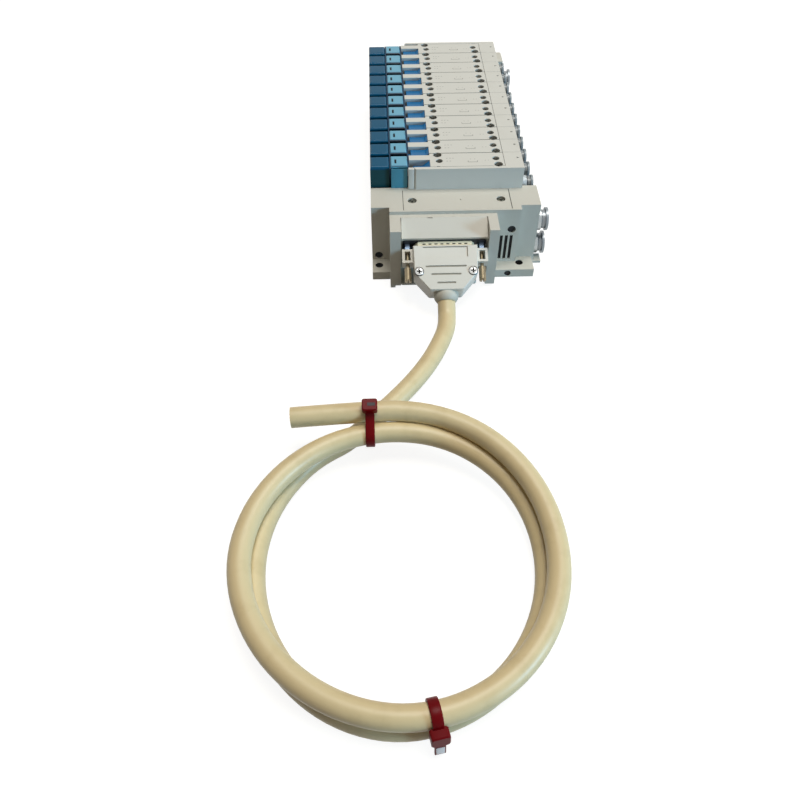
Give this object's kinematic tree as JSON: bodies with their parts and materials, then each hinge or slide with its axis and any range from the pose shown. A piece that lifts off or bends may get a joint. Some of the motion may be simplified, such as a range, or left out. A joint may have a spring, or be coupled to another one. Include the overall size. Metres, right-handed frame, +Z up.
{
  "type": "pneumatic valve island",
  "caption": "Manifold of side-by-side solenoid valves with push-in ports on one side and a multi-pole connector block, mated to a cable coiled on the ground.",
  "frame": {"origin": "middle of the island's footprint, on the plane that its feet stand on, with the plug and cable left out", "axes": "+Z up, +Y along the row of valves away from the connector block, +X towards the ports"},
  "size_m": [0.1848, 0.5271, 0.0616],
  "materials": {
    "cream_plastic": "satin moulded",
    "grey_plastic": "satin moulded",
    "dark_blue_plastic": "satin moulded",
    "light_blue_plastic": "satin moulded",
    "blue_plastic": "satin moulded",
    "steel": "plain",
    "yellow_steel": "yellow passivated",
    "nickel": "satin nickel",
    "collar_plastic": "satin moulded",
    "black_rubber": "matt",
    "cable_jacket": "matt jacket",
    "tie_plastic": "satin nylon"
  },
  "bodies": {
    "island": {"connector_block": "cream_plastic", "connector_cover": "cream_plastic", "connector_cover_screws": "steel", "socket_roof": "cream_plastic", "dsub_socket": "yellow_steel", "jack_posts": "steel", "plug_shell": "yellow_steel", "hood_upper": "cream_plastic", "hood_lower": "cream_plastic", "hood_screws": "steel", "jackscrew_left": "steel", "jackscrew_right": "steel", "cable_grommet": "cable_jacket", "cord_lead": "cable_jacket", "cord_coil": "cable_jacket", "cord_tail": "cable_jacket", "tie_upper": "tie_plastic", "tie_lower": "tie_plastic", "supply_block": "cream_plastic", "end_block": "cream_plastic", "supply_fittings": "nickel", "tie_rods": "steel", "manifold_base": "grey_plastic", "port_fittings": "nickel", "gaskets": "black_rubber", "pilot_caps": "dark_blue_plastic", "coil_covers": "light_blue_plastic", "side_plate_near": "grey_plastic", "side_plate_far": "grey_plastic", "low_screws": "steel", "tie_screws": "steel", "valve_body_01": "cream_plastic", "valve_body_02": "cream_plastic", "valve_body_03": "cream_plastic", "valve_body_04": "cream_plastic", "valve_body_05": "cream_plastic", "valve_body_06": "cream_plastic", "valve_body_07": "cream_plastic", "valve_body_08": "cream_plastic", "valve_body_09": "cream_plastic", "valve_body_10": "cream_plastic", "valve_body_11": "cream_plastic"},
    "override_slider_01": {"override_slider_01": "blue_plastic"},
    "override_slider_02": {"override_slider_02": "blue_plastic"},
    "override_slider_03": {"override_slider_03": "blue_plastic"},
    "override_slider_04": {"override_slider_04": "blue_plastic"},
    "override_slider_05": {"override_slider_05": "blue_plastic"},
    "override_slider_06": {"override_slider_06": "blue_plastic"},
    "override_slider_07": {"override_slider_07": "blue_plastic"},
    "override_slider_08": {"override_slider_08": "blue_plastic"},
    "override_slider_09": {"override_slider_09": "blue_plastic"},
    "override_slider_10": {"override_slider_10": "blue_plastic"},
    "override_slider_11": {"override_slider_11": "blue_plastic"},
    "supply_collar": {"supply_collar": "collar_plastic"},
    "exhaust_collar": {"exhaust_collar": "collar_plastic"},
    "far_supply_collar": {"far_supply_collar": "collar_plastic"},
    "far_exhaust_collar": {"far_exhaust_collar": "collar_plastic"}
  },
  "joints": [
    {"name": "override_01", "type": "slide", "parent": "island", "child": "override_slider_01", "axis": [-1, 0, 0], "range_m": [0, 0.0026]},
    {"name": "override_02", "type": "slide", "parent": "island", "child": "override_slider_02", "axis": [-1, 0, 0], "range_m": [0, 0.0026]},
    {"name": "override_03", "type": "slide", "parent": "island", "child": "override_slider_03", "axis": [-1, 0, 0], "range_m": [0, 0.0026]},
    {"name": "override_04", "type": "slide", "parent": "island", "child": "override_slider_04", "axis": [-1, 0, 0], "range_m": [0, 0.0026]},
    {"name": "override_05", "type": "slide", "parent": "island", "child": "override_slider_05", "axis": [-1, 0, 0], "range_m": [0, 0.0026]},
    {"name": "override_06", "type": "slide", "parent": "island", "child": "override_slider_06", "axis": [-1, 0, 0], "range_m": [0, 0.0026]},
    {"name": "override_07", "type": "slide", "parent": "island", "child": "override_slider_07", "axis": [-1, 0, 0], "range_m": [0, 0.0026]},
    {"name": "override_08", "type": "slide", "parent": "island", "child": "override_slider_08", "axis": [-1, 0, 0], "range_m": [0, 0.0026]},
    {"name": "override_09", "type": "slide", "parent": "island", "child": "override_slider_09", "axis": [-1, 0, 0], "range_m": [0, 0.0026]},
    {"name": "override_10", "type": "slide", "parent": "island", "child": "override_slider_10", "axis": [-1, 0, 0], "range_m": [0, 0.0026]},
    {"name": "override_11", "type": "slide", "parent": "island", "child": "override_slider_11", "axis": [-1, 0, 0], "range_m": [0, 0.0026]},
    {"name": "supply_collar_release", "type": "slide", "parent": "island", "child": "supply_collar", "axis": [-1, 0, 0], "range_m": [0, 0.0008], "stiffness_N_per_m": 500},
    {"name": "exhaust_collar_release", "type": "slide", "parent": "island", "child": "exhaust_collar", "axis": [-1, 0, 0], "range_m": [0, 0.0008], "stiffness_N_per_m": 500},
    {"name": "far_supply_collar_release", "type": "slide", "parent": "island", "child": "far_supply_collar", "axis": [-1, 0, 0], "range_m": [0, 0.0008], "stiffness_N_per_m": 500},
    {"name": "far_exhaust_collar_release", "type": "slide", "parent": "island", "child": "far_exhaust_collar", "axis": [-1, 0, 0], "range_m": [0, 0.0008], "stiffness_N_per_m": 500}
  ]
}
